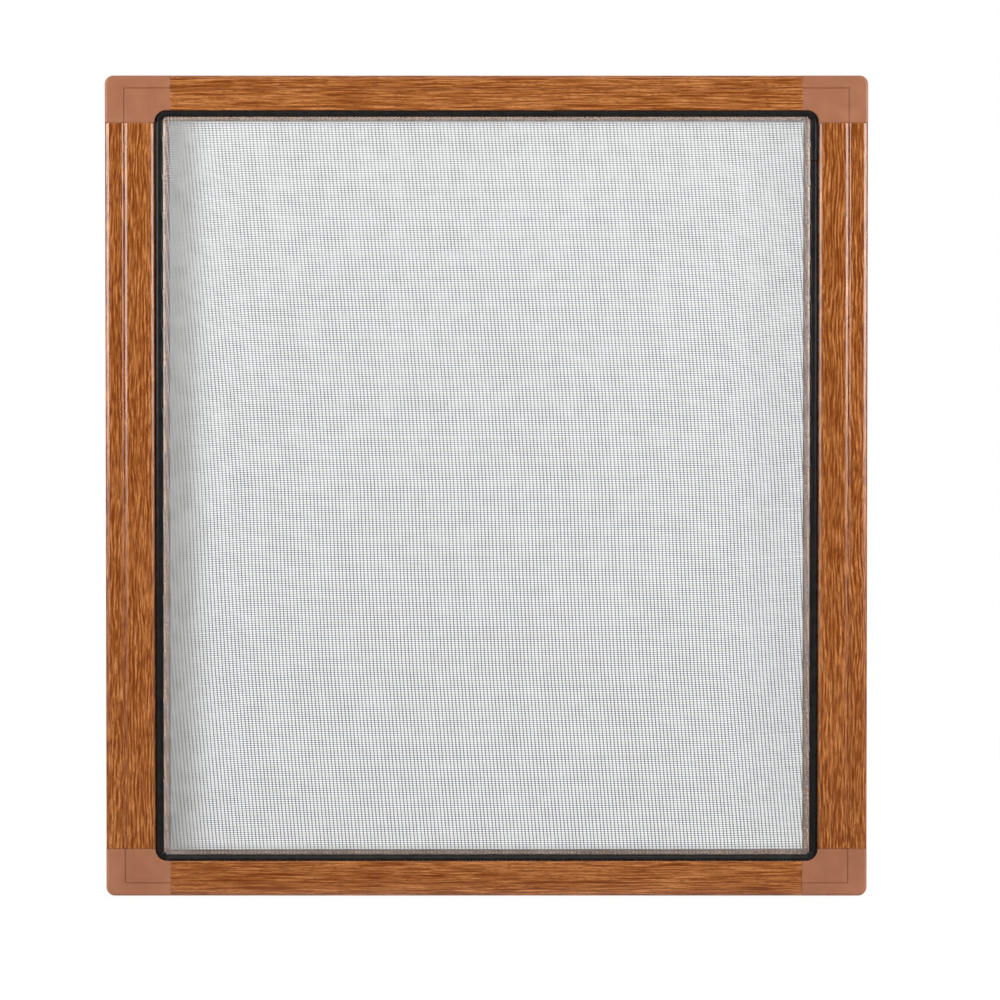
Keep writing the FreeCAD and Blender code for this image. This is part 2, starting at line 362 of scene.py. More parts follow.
def rail_skin():
    """Top rail: its section carried straight from the left to the right end."""
    outline = bar_outline(rail_face, rail_lip, RAIL_EDGE, RAIL_FACE_LINE, RAIL_SHOULDER)
    stations, sections = eased_ends(rounded_section(outline), rail_end)
    across, depth = np.moveaxis(sections, -1, 0)
    along = np.broadcast_to(stations[:, None], across.shape)
    points = np.stack([along, depth, top - across], axis=-1)
    return together([skin(points), end_caps(points)])


def corner_skin():
    """Top left corner moulding: a section carried along an L-shaped path, round its own plan radius.

    Every section point has a distance from the left edge, one from the top edge, a depth and a plan
    radius; its path climbs from the stile, turns a quarter circle of that radius and runs to the rail.
    """
    steps = 7
    outlines = []
    bars = (
        (stile_face, STILE_NIB, stile_lip, STILE_LINE),
        (rail_face, RAIL_NIB, rail_lip, RAIL_LINE),
    )
    for face, nib, lip, line in bars:
        inner = face + GROOVE
        rim = inner + lip - CORNER_LIP_GAP
        wall_end = inner + LIP_WALL
        outlines.append(
            [
                (0, front + CORNER_EDGE_DEPTH, CORNER_EDGE_ROUND),
                (CORNER_EDGE, front, CORNER_EDGE_ROUND),
                (line - FINE_LINE_HALF, front, CORNER_LINE_ROUND),
                (line, front + FINE_LINE_DEPTH, CORNER_LINE_FOOT),
                (line + FINE_LINE_HALF, front, CORNER_LINE_ROUND),
                (face + nib, front, NIB_ROUND),
                (face + nib, front + NIB_THICKNESS, CORNER_NIB_FOOT),
                (face, front + NIB_THICKNESS, CORNER_NIB_FOOT),
                (face, groove_floor, CRISP),
                (inner, groove_floor, CRISP),
                (inner, lip_top, LIP_ROUND),
                (rim, lip_top, CORNER_LIP_ROUND),
                (rim, lip_top + FLANGE, CRISP),
                (wall_end, lip_top + FLANGE, CRISP),
                (wall_end, back, CRISP),
                (0, back, BACK_ROUND),
            ]
        )
    from_left, depth = rounded_section(outlines[0], steps).T
    from_top = rounded_section(outlines[1], steps)[:, 0]
    # Each corner of the section turns with the moulding's outer corner, its fine line or the groove
    turns_with = np.repeat(["outer"] * 2 + ["line"] * 3 + ["groove"] * 10 + ["outer"], steps)
    outer_turn = CORNER_ROUND - from_left
    groove_turn = TURN + GROOVE - (from_left - stile_face)
    radius = np.select([turns_with == "outer", turns_with == "line"], [outer_turn, LINE_TURN], groove_turn)
    radius = np.maximum(radius, SMALLEST_TURN)
    straight = np.linspace(0, 1, 5)[:, None]
    turn = np.linspace(0, np.pi / 2, 17)[:, None]
    climb_x = np.broadcast_to(from_left, (len(straight), len(from_left)))
    climb_z = rail_width + (from_top + radius - rail_width) * straight
    bend_x = from_left + radius - radius * np.cos(turn)
    bend_z = from_top + radius - radius * np.sin(turn)
    run_x = from_left + radius + (stile_width - from_left - radius) * straight
    run_z = np.broadcast_to(from_top, (len(straight), len(from_top)))
    path_x = np.concatenate([climb_x[:-1], bend_x, run_x[1:]])
    path_z = np.concatenate([climb_z[:-1], bend_z, run_z[1:]])
    points = np.stack([left + path_x, np.broadcast_to(depth, path_x.shape), top - path_z], axis=-1)
    return together([skin(points), end_caps(points), leg_skin(True), leg_skin(False)])


def leg_skin(into_stile):
    """One leg of the corner: a rectangle carried along the bar, stepping out to a larger one at every fin."""
    face = stile_face if into_stile else rail_face
    length = STILE_LEG if into_stile else RAIL_LEG
    fin_start = (np.arange(FINS) + 0.5) * (length - LEG_TAPER) / FINS
    fin_end = fin_start + FIN_LENGTH
    along = np.stack([fin_start, fin_start + FIN_STEP, fin_end, fin_end + FIN_STEP], 1)
    inset = np.tile([FIN_HEIGHT, 0, 0, FIN_HEIGHT], FINS)
    along = np.concatenate([[0], along.ravel(), [length - LEG_TAPER, length]])
    inset = np.concatenate([[FIN_HEIGHT], inset, [FIN_HEIGHT, FIN_HEIGHT + LEG_TIP_INSET]])
    near = LEG_INSET + LEG_EDGE_INSET + inset[:, None]
    far = face - LEG_INSET - inset[:, None]
    deep = back - LEG_INSET - inset[:, None]
    across = np.concatenate([near, far, far, near], axis=1)
    depth = np.concatenate([-deep, -deep, deep, deep], axis=1)
    reach = np.broadcast_to(along[:, None], across.shape)
    if into_stile:
        points = np.stack([left + across, depth, top - rail_width - reach], axis=-1)[::-1]
    else:
        points = np.stack([left + stile_width + reach, depth, top - across], axis=-1)
    return together([skin(points), end_caps(points)])


def smooth_wander(rng, count, reach):
    """Soft random wander along a ring, at most reach: waves of 3 to 22 turns with random size and phase."""
    t = np.arange(count) / count * 2 * np.pi
    waves = np.arange(3, 23)
    phase = rng.uniform(0, 2 * np.pi, len(waves))
    size = rng.uniform(0.2, 1, len(waves))
    wave = (size[:, None] * np.sin(waves[:, None] * t + phase[:, None])).sum(0)
    return reach * wave / np.abs(wave).max()


def cord_skin():
    """Rubber cord: a round with two flutes at its front, carried round the groove from end to end.

    The path starts above the join on the right stile, climbs, turns each corner on a quarter circle
    and ends below the join; pressed in, the cord spreads to the groove's walls and rides a
    little unevenly, and on each turn it bunches up over the lip. A flute is a bell-shaped dip in the radius.
    """
    corner = np.linspace(0, np.pi / 2, 15)
    side = np.linspace(0, 1, 90)[:, None]
    gap = JOIN_GAP / 2
    stops = [
        ((cord_x, JOIN_HEIGHT + gap), (cord_x, turn_z)),
        ((turn_x, cord_z), (-turn_x, cord_z)),
        ((-cord_x, turn_z), (-cord_x, -turn_z)),
        ((-turn_x, -cord_z), (turn_x, -cord_z)),
        ((cord_x, -turn_z), (cord_x, JOIN_HEIGHT - gap)),
    ]
    turns = [(turn_x, turn_z), (-turn_x, turn_z), (-turn_x, -turn_z), (turn_x, -turn_z)]
    runs = []
    bends = []
    for i, (start, end) in enumerate(stops):
        runs.append(np.array(start) + (np.array(end) - np.array(start)) * side)
        bends.append(np.zeros(len(side)))
        if i < len(turns):
            x, z = turns[i]
            angle = corner[1:-1] + i * np.pi / 2
            runs.append(np.stack([x + turn_radius * np.cos(angle), z + turn_radius * np.sin(angle)], 1))
            bends.append(np.sin(2 * corner[1:-1]) ** 2)
    path = np.concatenate(runs)
    bend = np.concatenate(bends)[:, None]
    tangent = unit(np.gradient(path, axis=0))
    outward = np.stack([tangent[:, 1], -tangent[:, 0]], 1)
    theta = np.linspace(0, 2 * np.pi, 36, endpoint=False)
    from_flute = np.abs(np.abs((theta + np.pi) % (2 * np.pi) - np.pi) - FLUTE_ANGLE)
    reach = cord_radius - FLUTE_DEPTH * np.exp(-((from_flute / FLUTE_HALF) ** 2))
    wander = smooth_wander(random_cord, len(path), CORD_WANDER)
    sideways = smooth_wander(random_cord, len(path), CORD_SWAY)
    pinch = np.ones((len(path), 1))
    pinch[[0, -1]] = END_PINCH
    bunched = np.where(np.sin(theta) < 0, 1 + CORD_BUNCH * bend, 1)
    offset = pinch * CORD_SPREAD * reach * np.sin(theta) * bunched + sideways[:, None]
    lift = wander[:, None] - CORD_LIFT * bend
    x = path[:, :1] + outward[:, :1] * offset
    y = cord_depth - pinch * reach * np.cos(theta) + lift
    z = path[:, 1:] + outward[:, 1:] * offset
    points = np.stack([x, y, z], axis=-1)
    return together([skin(points), end_caps(points)])


def thread_prisms(middle, side, thick):
    """Threads as square prisms on edge, one along each row of middle points; side lies across the thread.

    A ring's corners are side, tangent x side and their opposites, half a thread away from the middle.
    """
    count, stations = middle.shape[:2]
    side = np.broadcast_to(side, middle.shape)
    tangent = unit(np.gradient(middle, axis=1))
    lift = unit(np.cross(tangent, side))
    around = np.stack([side, lift, -side, -lift], axis=2)
    first = np.arange(count)[:, None, None] * stations * 4
    station = np.arange(stations - 1)[None, :, None] * 4
    corner = np.arange(4)[None, None, :]
    following = (corner + 1) % 4
    quads = np.stack(
        np.broadcast_arrays(
            first + station + corner,
            first + station + following,
            first + station + 4 + following,
            first + station + 4 + corner,
        ),
        axis=-1,
    ).reshape(-1, 4)
    starts = first[:, :, 0] + [3, 2, 1, 0]
    ends = first[:, :, 0] + (stations - 1) * 4 + [0, 1, 2, 3]
    return {
        "points": (middle[:, :, None] + around * thick / 2).reshape(-1, 3),
        "normals": around.reshape(-1, 3),
        "faces": np.concatenate([quads, starts, ends]).tolist(),
    }


def field_threads(run, depth, thick):
    """Threads of the field along plan points (thread, station, 2), with both ends tucked into the groove.

    Each thread wanders a little sideways, more on the lip; at each end it follows the lip's bevel down and
    drops beside the cord into the groove.
    """
    direction = unit(run[:, -1] - run[:, 0])[:, None]
    sideways = np.stack([-direction[..., 1], direction[..., 0]], -1)
    on_lip = np.abs(THREAD_STATIONS - 0.5) > 0.5 - LIP_SHARE
    wander = random_threads.normal(0, 1, run.shape[:2]) * np.where(on_lip, LIP_STRAY, FIELD_STRAY)
    field = run + sideways * wander[:, :, None]
    plan = np.concatenate(
        [run[:, :1] - direction * TUCK_OUT, field, run[:, -1:] + direction * TUCK_OUT], axis=1
    )
    drop = np.zeros(plan.shape[1])
    drop[[0, -1]] = TUCK_DOWN
    drop[[1, -2]] = LIP_BEVEL_DEPTH - BEVEL_GAP
    middle = np.insert(plan, 1, depth + np.broadcast_to(drop, plan.shape[:2]), axis=2)
    side = np.insert(sideways, 1, 0, axis=2)
    return thread_prisms(middle, side, thick)


def cut_ends(foot, inward, out, deep):
    """Trimmed thread ends beside the cord: each climbs out of the groove and lies over the bar's inner edge.

    foot is a thread's place on the groove's outer wall and inward the way from there to the opening; out
    and deep give the path's distances along that way and below the face. Ends are cut at random lengths.
    """
    count = len(foot)
    cut = random_threads.uniform(SHORTEST_CUT, 1, (count, 1, 1))
    slip = random_threads.normal(0, CUT_STRAY, (count, 1, 1)) * np.linspace(0, 1, len(out))[:, None]
    path = np.stack([np.array(out), front + np.array(deep)], 1)[None].repeat(count, axis=0)
    path[:, -1:] = path[:, -2:-1] + (path[:, -1:] - path[:, -2:-1]) * cut
    sideways = np.stack([-inward[:, 1], inward[:, 0]], 1)
    plan = foot[:, None] + inward[:, None] * path[:, :, :1] + sideways[:, None] * slip
    middle = np.insert(plan, 1, path[:, :, 1], axis=2)
    side = np.insert(sideways, 1, 0, axis=1)[:, None]
    return thread_prisms(middle, side, CUT_THREAD)


def rounded_reach(across, half_across, half_along):
    """How far along a line at each distance across stays inside the groove's rounded inner outline."""
    past = np.clip(np.abs(across) - half_across, 0, TURN)
    return half_along + np.sqrt(TURN**2 - past**2)


def warp_drift(z):
    """Sideways drift of an upright thread at a height: an even lean, eased near one height by a tanh."""
    easing = np.tanh((z - WARP_EASING_HEIGHT) / WARP_EASING_REACH)
    return WARP_LEAN * z + WARP_EASING * WARP_EASING_REACH * easing


def weft_rise(x, level):
    """Rise of a level thread at a place across: a fifth power, flat in the middle, gone at top and bottom."""
    return WEFT_RISE * (x / field_x) ** 5 * (1 - (level / field_z) ** 8)


def cloth_skin():
    """Woven sheet: leaning upright threads in front of level ones, each ended at the groove's inner edge.

    The weave is drawn a little askew, as hand-pulled mesh is: level threads stand wider apart near the top,
    sink towards the left and rise towards the right. Returns the skin and its map: the first value counts
    crossings on each thread, and the second is one on upright threads.
    """
    even = np.arange(-field_z + WEFT_PITCH / 2, field_z * (1 - WEFT_STRETCH), WEFT_PITCH)
    bottom_level = even[0]
    levels = even + WEFT_STRETCH * even * np.maximum(even / field_z, 0) ** 2
    levels = levels + random_threads.normal(0, WEFT_STRAY, len(levels))
    weft_reach = rounded_reach(levels, turn_z, turn_x)
    weft_x = weft_reach[:, None] * (2 * THREAD_STATIONS - 1)
    weft_run = np.stack([weft_x, levels[:, None] + weft_rise(weft_x, levels[:, None])], -1)
    wefts = field_threads(weft_run, lip_top - WEFT_THREAD / 2, WEFT_THREAD)
    # An upright thread ends at a rail's groove, or sooner where its lean takes it to a stile's
    heights = np.linspace(-field_z, field_z, 600)
    drift = warp_drift(heights)
    middles = np.arange(-field_x - drift.max(), field_x - drift.min(), WARP_PITCH)
    left_middle = middles[0]
    middles = middles + random_threads.normal(0, WARP_STRAY, len(middles))
    low_z = np.interp(field_x - middles, drift[::-1], heights[::-1])
    high_z = np.interp(-field_x - middles, drift[::-1], heights[::-1])
    low_z = np.maximum(low_z, -rounded_reach(middles + warp_drift(low_z), turn_x, turn_z))
    high_z = np.minimum(high_z, rounded_reach(middles + warp_drift(high_z), turn_x, turn_z))
    long_enough = high_z - low_z > SHORTEST_WARP
    middles, low_z, high_z = middles[long_enough], low_z[long_enough], high_z[long_enough]
    warp_z = low_z[:, None] + (high_z - low_z)[:, None] * THREAD_STATIONS
    warp_run = np.stack([middles[:, None] + warp_drift(warp_z), warp_z], -1)
    warps = field_threads(warp_run, lip_top - WARP_THREAD, WARP_THREAD)
    # Trimmed ends show along the right stile and the bottom rail
    beside_stile = levels[np.abs(levels) < turn_z]
    beside_stile = beside_stile[random_threads.uniform(size=len(beside_stile)) < LOOSE_ENDS]
    stile_feet = np.stack([np.full(len(beside_stile), wall_x), beside_stile], 1)
    beside_rail = np.arange(-turn_x, turn_x, WARP_PITCH)
    beside_rail = beside_rail[random_threads.uniform(size=len(beside_rail)) < LOOSE_ENDS]
    rail_feet = np.stack([beside_rail, np.full(len(beside_rail), -wall_z)], 1)
    stile_way = np.repeat([[-1.0, 0.0]], len(stile_feet), axis=0)
    rail_way = np.repeat([[0.0, 1.0]], len(rail_feet), axis=0)
    stile_ends = cut_ends(stile_feet, stile_way, STILE_CUT_OUT, STILE_CUT_DEEP)
    rail_ends = cut_ends(rail_feet, rail_way, RAIL_CUT_OUT, RAIL_CUT_DEEP)
    fringe = together([stile_ends, rail_ends])
    on_weft = wefts["points"]
    on_warp = warps["points"]
    unrisen = on_warp[:, 2] - weft_rise(on_warp[:, 0], np.clip(on_warp[:, 2], -field_z, field_z))
    unstretched = unrisen - WEFT_STRETCH * unrisen * np.maximum(unrisen / field_z, 0) ** 2
    crossings = np.concatenate(
        [
            (on_weft[:, 0] - warp_drift(on_weft[:, 2]) - left_middle) / WARP_PITCH,
            (unstretched - bottom_level) / WEFT_PITCH,
            np.zeros(len(fringe["points"])),
        ]
    )
    upright = np.repeat([0.0, 1.0, 0.0], [len(on_weft), len(on_warp), len(fringe["points"])])
    return together([wefts, warps, fringe]), np.stack([crossings, upright], 1)


def srgb(hex_colour):
    """Linear RGBA from an sRGB hex colour such as A26232."""
    parts = np.array([int(hex_colour[i : i + 2], 16) for i in (0, 2, 4)]) / 255
    linear = np.where(parts <= 0.04045, parts / 12.92, ((parts + 0.055) / 1.055) ** 2.4)
    return (*linear.tolist(), 1.0)


def add(tree, kind, inputs=None, steps=(), **settings):
    """Node of a kind with its settings; an input is a value, or an output socket to link from.

    steps are a colour ramp's (position, hex colour) pairs, from its first to its last.
    """
    made = tree.nodes.new(kind)
    for name, value in settings.items():
        setattr(made, name, value)
    for key, value in (inputs or {}).items():
        socket = made.inputs[key]
        if isinstance(value, bpy.types.NodeSocket):
            tree.links.new(value, socket)
        else:
            socket.default_value = value
    if steps:
        stops = made.color_ramp.elements
        stops[0].position = steps[0][0]
        stops[1].position = steps[-1][0]
        for step in steps[1:-1]:
            stops.new(step[0])
        for stop, step in zip(stops, steps):
            stop.color = srgb(step[1])
    return made


def new_material(name):
    """Empty node material with its output node."""
    material = bpy.data.materials.new(name)
    material.use_nodes = True
    material.node_tree.nodes.clear()
    output = add(material.node_tree, "ShaderNodeOutputMaterial")
    return material, material.node_tree, output


def wood_grain_film(name, turn, shift, across, wall, rim, grain_size, tones, year_lines):
    """Oak-grain transfer film baked onto an aluminium bar: satin, with fine streaks along the bar.

    The eye sees tan and brown streaks under a millimetre wide and about a centimetre long, wavy year lines,
    short dark pores, slow changes of tone, and a lacquer shine that whitens on sloping edges. The film
    stops at the groove's outer wall; the front of the lip under the mesh keeps its dusty beige base coat,
    with painted shade along its rim.

    turn and shift place the grain on the bar. across names the coordinate across the bar, and wall and rim
    are the groove's outer wall and the lip's rim on it. grain_size holds the streaks' width, length and
    waver, tones the grain's contrast and level, and year_lines the strength of the year lines.
    """
    streak_width, streak_length, waver = grain_size
    contrast, level = tones
    sway_width = 14
    sway_length = 36
    year_spacing = 1.35
    material, tree, output = new_material(name)
    place = add(tree, "ShaderNodeTexCoord").outputs["Object"]
    grain = add(
        tree,
        "ShaderNodeMapping",
        {"Vector": place, "Location": shift, "Rotation": turn, "Scale": (1 / MM, 1 / MM, 1 / MM)},
    ).outputs["Vector"]
    sway = add(
        tree,
        "ShaderNodeVectorMath",
        {0: grain, 1: (1 / sway_width, 1 / sway_width, 1 / sway_length)},
        operation="MULTIPLY",
    ).outputs["Vector"]
    sway_noise = add(tree, "ShaderNodeTexNoise", {"Vector": sway, "Scale": 1.0, "Detail": 2.0})
    swayed = add(
        tree,
        "ShaderNodeVectorMath",
        {0: sway_noise.outputs["Color"], 1: (waver, waver, 0.0), 2: grain},
        operation="MULTIPLY_ADD",
    ).outputs["Vector"]
    # Streaks as (width, length, detail, roughness), drawn a little coarser than a real film's, to show
    layers = []
    for width, length, detail, roughness in (
        (streak_width, streak_length, 1.5, 0.55),
        (4.0, 70.0, 2.0, 0.5),
        (5.0, 40.0, 1.0, 0.5),
        (0.3, 2.8, 1.0, 0.5),
    ):
        stretched = add(
            tree,
            "ShaderNodeVectorMath",
            {0: swayed, 1: (1 / width, 1 / width, 1 / length)},
            operation="MULTIPLY",
        ).outputs["Vector"]
        layer = add(
            tree,
            "ShaderNodeTexNoise",
            {"Vector": stretched, "Scale": 1.0, "Detail": detail, "Roughness": roughness},
        )
        layers.append(layer.outputs["Fac"])
    fine, broad, patches, pores = layers
    turns = add(
        tree,
        "ShaderNodeVectorMath",
        {0: swayed, 1: (2 * math.pi / year_spacing, 2 * math.pi / year_spacing, 0)},
        operation="DOT_PRODUCT",
    ).outputs["Value"]
    year_wave = add(tree, "ShaderNodeMath", {0: turns}, operation="SINE").outputs["Value"]
    year_strength = add(
        tree,
        "ShaderNodeMapRange",
        {"Value": patches, "From Min": 0.35, "From Max": 0.62, "To Min": 0.0, "To Max": year_lines},
    ).outputs["Result"]
    toned = add(
        tree, "ShaderNodeMath", {0: broad, 1: 0.2, 2: fine}, operation="MULTIPLY_ADD"
    ).outputs["Value"]
    mixed_grain = add(
        tree, "ShaderNodeMath", {0: year_wave, 1: year_strength, 2: toned}, operation="MULTIPLY_ADD"
    ).outputs["Value"]
    # The grain's mean is 0.6: half from the fine streaks and a tenth from the broad ones
    tone = add(
        tree,
        "ShaderNodeMath",
        {0: mixed_grain, 1: contrast, 2: level - 0.6 * contrast},
        operation="MULTIPLY_ADD",
    ).outputs["Value"]
    film = add(
        tree,
        "ShaderNodeValToRGB",
        {"Fac": tone},
        steps=[
            (0.47, "763502"),
            (0.53, "864512"),
            (0.6, "965521"),
            (0.66, "A26130"),
            (0.75, "B6743E"),
            (0.82, "C27F4A"),
        ],
    ).outputs["Color"]
    pore_mask = add(
        tree,
        "ShaderNodeMapRange",
        {"Value": pores, "From Min": 0.55, "From Max": 0.64, "To Min": 0.0, "To Max": 0.6},
    ).outputs["Result"]
    marked = add(
        tree,
        "ShaderNodeMix",
        {"Factor": pore_mask, "A": film, "B": srgb("6B340B")},
        data_type="RGBA",
    ).outputs["Result"]
    film_end = (wall - 0.02) * MM
    lip_middle = (lip_top + FLANGE / 2) * MM
    split = add(tree, "ShaderNodeSeparateXYZ", {"Vector": place}).outputs
    from_middle = add(tree, "ShaderNodeMath", {0: split[across]}, operation="ABSOLUTE").outputs["Value"]
    past_wall = add(
        tree, "ShaderNodeMath", {0: from_middle, 1: film_end}, operation="LESS_THAN"
    ).outputs["Value"]
    near_front = add(
        tree, "ShaderNodeMath", {0: split["Y"], 1: lip_middle}, operation="LESS_THAN"
    ).outputs["Value"]
    uncovered = add(
        tree, "ShaderNodeMath", {0: past_wall, 1: near_front}, operation="MULTIPLY"
    ).outputs["Value"]
    # Real dust is far finer than 0.9 mm; it is drawn that coarse so that it shows
    speckle_size = 0.9 * MM
    speckle = add(
        tree, "ShaderNodeTexNoise", {"Vector": place, "Scale": 1 / speckle_size, "Detail": 1.0}
    ).outputs["Fac"]
    base_coat = add(
        tree,
        "ShaderNodeValToRGB",
        {"Fac": speckle},
        steps=[(0.35, "A2765C"), (0.5, "CB9E80"), (0.65, "E4BC9E")],
    ).outputs["Color"]
    # Painted shade along the lip's rim, where its edge rounds away under the mesh; the dark brown is that
    # shade
    rim_shade_full = (rim + 0.15) * MM
    rim_shade_gone = (rim + 0.9) * MM
    painted_rim_shade = add(
        tree,
        "ShaderNodeMapRange",
        {"Value": from_middle, "From Min": rim_shade_full, "From Max": rim_shade_gone, "To Min": 0.85, "To Max": 0.0},
    ).outputs["Result"]
    lip_coat = add(
        tree,
        "ShaderNodeMix",
        {"Factor": painted_rim_shade, "A": base_coat, "B": srgb("5A4235")},
        data_type="RGBA",
    ).outputs["Result"]
    coat = add(
        tree,
        "ShaderNodeMix",
        {"Factor": uncovered, "A": marked, "B": lip_coat},
        data_type="RGBA",
    ).outputs["Result"]
    shine = add(
        tree,
        "ShaderNodeMapRange",
        {"Value": fine, "From Min": 0.3, "From Max": 0.7, "To Min": 0.29, "To Max": 0.24},
    ).outputs["Result"]
    relief = add(
        tree, "ShaderNodeBump", {"Strength": 0.12, "Distance": 0.1 * MM, "Height": fine}
    ).outputs["Normal"]
    surface = add(
        tree,
        "ShaderNodeBsdfPrincipled",
        {"Base Color": coat, "Roughness": shine, "IOR": 1.5, "Normal": relief},
    )
    tree.links.new(surface.outputs["BSDF"], output.inputs["Surface"])
    return material


def moulded_brown_plastic():
    """ABS moulded in brown: an even colour with faint flow clouds and a fine spark-eroded grain.

    The eye sees a matt warm brown that shines softly on its rounded edges.
    """
    cloud_size = 9 * MM
    # Real spark-eroded grain is about 0.05 mm, too fine to show, so it is drawn ten times coarser
    grain_size = 0.5 * MM
    material, tree, output = new_material("abs_moulded_brown")
    place = add(tree, "ShaderNodeTexCoord").outputs["Object"]
    clouds = add(
        tree, "ShaderNodeTexNoise", {"Vector": place, "Scale": 1 / cloud_size, "Detail": 3.0}
    ).outputs["Fac"]
    grain = add(
        tree, "ShaderNodeTexNoise", {"Vector": place, "Scale": 1 / grain_size, "Detail": 2.0}
    ).outputs["Fac"]
    body = add(
        tree,
        "ShaderNodeValToRGB",
        {"Fac": clouds},
        steps=[(0.3, "975E40"), (0.5, "9D6343"), (0.7, "A36949")],
    ).outputs["Color"]
    relief = add(
        tree, "ShaderNodeBump", {"Strength": 0.15, "Distance": 0.05 * MM, "Height": grain}
    ).outputs["Normal"]
    shine = add(
        tree,
        "ShaderNodeMapRange",
        {"Value": grain, "From Min": 0.3, "From Max": 0.7, "To Min": 0.48, "To Max": 0.58},
    ).outputs["Result"]
    surface = add(
        tree,
        "ShaderNodeBsdfPrincipled",
        {"Base Color": body, "Roughness": shine, "IOR": 1.52, "Normal": relief},
    )
    tree.links.new(surface.outputs["BSDF"], output.inputs["Surface"])
    return material


def extruded_black_rubber():
    """EPDM rubber cord, extruded: near black with a thin grey bloom and a soft shine along its flutes.

    Its fine pores swallow more than half of the shine a smooth surface would have.
    """
    bloom_size = 4 * MM
    # Real pores are about 0.04 mm, too fine to show, so they are drawn ten times coarser
    pit_size = 0.4 * MM
    material, tree, output = new_material("epdm_rubber_extruded_black")
    place = add(tree, "ShaderNodeTexCoord").outputs["Object"]
    bloom = add(
        tree, "ShaderNodeTexNoise", {"Vector": place, "Scale": 1 / bloom_size, "Detail": 4.0}
    ).outputs["Fac"]
    pits = add(
        tree, "ShaderNodeTexNoise", {"Vector": place, "Scale": 1 / pit_size, "Detail": 2.0}
    ).outputs["Fac"]
    body = add(
        tree, "ShaderNodeValToRGB", {"Fac": bloom}, steps=[(0.35, "1C1B1B"), (0.65, "252424")]
    ).outputs["Color"]
    relief = add(
        tree, "ShaderNodeBump", {"Strength": 0.2, "Distance": 0.05 * MM, "Height": pits}
    ).outputs["Normal"]
    shine = add(
        tree,
        "ShaderNodeMapRange",
        {"Value": bloom, "From Min": 0.3, "From Max": 0.7, "To Min": 0.19, "To Max": 0.25},
    ).outputs["Result"]
    surface = add(
        tree,
        "ShaderNodeBsdfPrincipled",
        {"Base Color": body, "Roughness": shine, "IOR": 1.5, "Specular IOR Level": 0.2, "Normal": relief},
    )
    tree.links.new(surface.outputs["BSDF"], output.inputs["Surface"])
    return material


def woven_glass_thread():
    """Fibreglass yarn coated in grey vinyl and woven: pale, with painted shade where two threads cross.

    The map counts crossings along each thread, so the painted dark knots sit where the weave has them. Noise
    of dust varies the tone; painted shade makes the cloth a little darker towards its lower edge, on upright
    threads most, and the cloth is paler beside the left stile.
    """
    dust_size = 6 * MM
    pale_reach = 10 * MM
    opening_left = (STILE_LIP - field_x) * MM
    material, tree, output = new_material("vinyl_coated_fibreglass_woven")
    thread = add(tree, "ShaderNodeUVMap", uv_map="thread").outputs["UV"]
    counted = add(tree, "ShaderNodeSeparateXYZ", {"Vector": thread}).outputs
    wave = add(
        tree, "ShaderNodeMath", {0: counted["X"], 1: 2 * math.pi}, operation="MULTIPLY"
    ).outputs["Value"]
    painted_knot_shade = add(tree, "ShaderNodeMath", {0: wave}, operation="COSINE").outputs["Value"]
    place = add(tree, "ShaderNodeTexCoord").outputs["Object"]
    dust = add(
        tree, "ShaderNodeTexNoise", {"Vector": place, "Scale": 1 / dust_size, "Detail": 3.0}
    ).outputs["Fac"]
    split = add(tree, "ShaderNodeSeparateXYZ", {"Vector": place}).outputs
    # The cloth is paler beside the left stile
    pale = add(
        tree,
        "ShaderNodeMapRange",
        {
            "Value": split["X"],
            "From Min": opening_left,
            "From Max": opening_left + pale_reach,
            "To Min": 0.24,
            "To Max": 0.0,
        },
        interpolation_type="SMOOTHSTEP",
    ).outputs["Result"]
    dust_and_pale = add(tree, "ShaderNodeMath", {0: dust, 1: pale}, operation="ADD").outputs["Value"]
    # Painted shade: the cloth darkens towards its lower edge, upright threads more
    painted_shade_gain = add(
        tree, "ShaderNodeMath", {0: counted["Y"], 1: 0.8, 2: 0.7}, operation="MULTIPLY_ADD"
    ).outputs["Value"]
    dust_and_painted_shade = add(
        tree, "ShaderNodeMath", {0: split["Z"], 1: painted_shade_gain, 2: dust_and_pale}, operation="MULTIPLY_ADD"
    ).outputs["Value"]
    # Painted shade at the crossings, where one thread lies over another
    with_knot_shade = add(
        tree, "ShaderNodeMath", {0: painted_knot_shade, 1: -0.32, 2: dust_and_painted_shade}, operation="MULTIPLY_ADD"
    ).outputs["Value"]
    shade = add(
        tree, "ShaderNodeMath", {0: counted["Y"], 1: -0.12, 2: with_knot_shade}, operation="MULTIPLY_ADD"
    ).outputs["Value"]
    coat = add(
        tree,
        "ShaderNodeValToRGB",
        {"Fac": shade},
        steps=[(0.2, "6C6F72"), (0.62, "A0A3A6"), (1.0, "BABDC0")],
    ).outputs["Color"]
    surface = add(
        tree, "ShaderNodeBsdfPrincipled", {"Base Color": coat, "Roughness": 0.45, "IOR": 1.5}
    )
    tree.links.new(surface.outputs["BSDF"], output.inputs["Surface"])
    return material


def seen_directly(tree):
    """One for rays that show the background: from the camera, in a reflection or through glass."""
    path = add(tree, "ShaderNodeLightPath").outputs
    either = add(
        tree, "ShaderNodeMath", {0: path["Is Camera Ray"], 1: path["Is Glossy Ray"]}, operation="MAXIMUM"
    ).outputs["Value"]
    return add(
        tree, "ShaderNodeMath", {0: either, 1: path["Is Transmission Ray"]}, operation="MAXIMUM"
    ).outputs["Value"]


def stage_sheet(name, corners, material):
    """Flat four-cornered sheet of the stage."""
    mesh = bpy.data.meshes.new(name)
    mesh.from_pydata(corners, [], [(0, 1, 2, 3)])
    mesh.materials.append(material)
    sheet = bpy.data.objects.new(name, mesh)
    bpy.context.scene.collection.objects.link(sheet)
    return sheet


